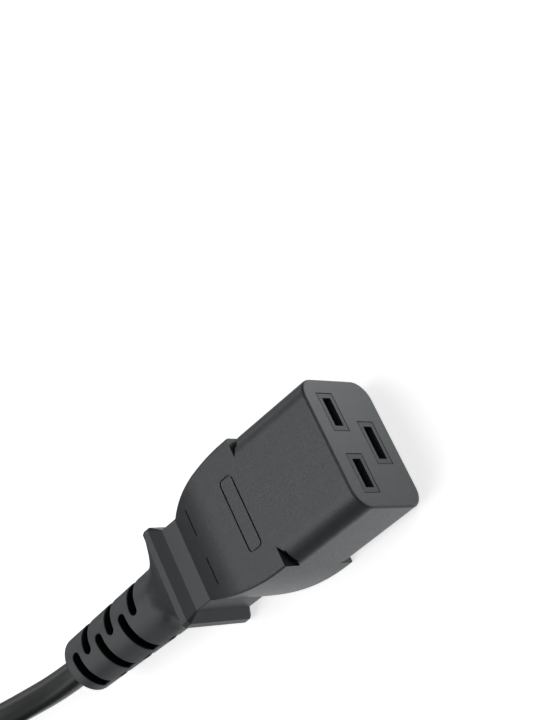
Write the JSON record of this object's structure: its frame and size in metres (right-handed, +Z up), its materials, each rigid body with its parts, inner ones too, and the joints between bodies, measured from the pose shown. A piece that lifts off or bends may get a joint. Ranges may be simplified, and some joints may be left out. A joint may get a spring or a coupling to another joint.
{
  "type": "c19 power connector",
  "caption": "Moulded female C19 connector for rack power, with rectangular contact openings, waisted grip and slotted strain relief, on a coiled cord with a C20 plug.",
  "frame": {"origin": "under the middle of the connector, on the surface that its lower broad face lies on", "axes": "+X out of the mating face, +Z up out of the broad face with the engraved frame, +Y across the contacts"},
  "size_m": [0.2278, 0.0782, 0.0392],
  "materials": {
    "overmould": "fine spark-eroded grain",
    "carrier": "smooth satin",
    "contact_brass": "bright stamped",
    "strands": "bare copper, brass standing in",
    "line_insulation": "satin",
    "neutral_insulation": "satin",
    "earth_insulation": "satin",
    "jacket": "satin",
    "pin_nickel": "bright nickel plate"
  },
  "bodies": {
    "root": {"overmould_body": "overmould", "contact_carrier": "carrier", "carrier_cap": "carrier", "line_contact": "contact_brass", "neutral_contact": "contact_brass", "earth_contact": "contact_brass", "line_strands": "strands", "neutral_strands": "strands", "earth_strands": "strands", "line_core": "line_insulation", "neutral_core": "neutral_insulation", "earth_core": "earth_insulation", "jacket_end": "jacket", "cord": "jacket", "cord_coil": "jacket", "cord_tail": "jacket", "plug_body": "overmould", "plug_pin_bridge": "carrier", "plug_line_pin": "pin_nickel", "plug_neutral_pin": "pin_nickel", "plug_earth_pin": "pin_nickel", "plug_line_core": "line_insulation", "plug_neutral_core": "neutral_insulation", "plug_earth_core": "earth_insulation", "plug_jacket_end": "jacket"}
  },
  "joints": []
}
